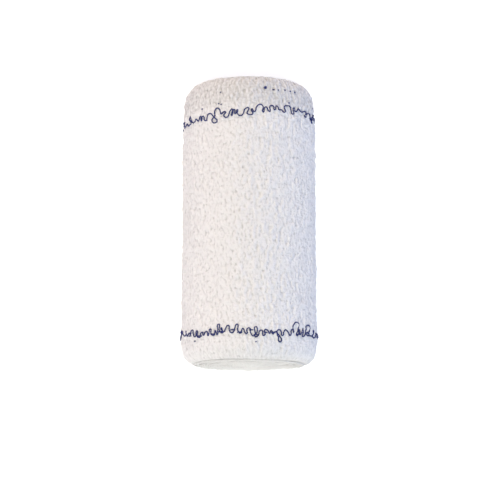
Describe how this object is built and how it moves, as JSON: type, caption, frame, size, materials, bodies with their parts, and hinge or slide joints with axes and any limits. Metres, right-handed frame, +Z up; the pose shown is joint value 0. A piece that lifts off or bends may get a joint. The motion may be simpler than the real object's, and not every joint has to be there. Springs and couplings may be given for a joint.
{
  "type": "crepe bandage roll",
  "caption": "Wound roll of white crinkled cotton crepe bandage with a blue marker yarn looped along each selvedge, lying on its side.",
  "frame": {"origin": "middle of the bounding box's underside, on the flat spot that the roll lies on", "axes": "+Y along the roll's axis from the near end to the far end, +Z up, away from the surface it lies on"},
  "size_m": [0.0478, 0.1, 0.0467],
  "materials": {
    "crepe_cotton": "crinkled matte cotton weave",
    "marker_yarn": "twisted matte yarn, navy blue"
  },
  "bodies": {
    "root": {"bandage_roll": "crepe_cotton"}
  },
  "joints": []
}
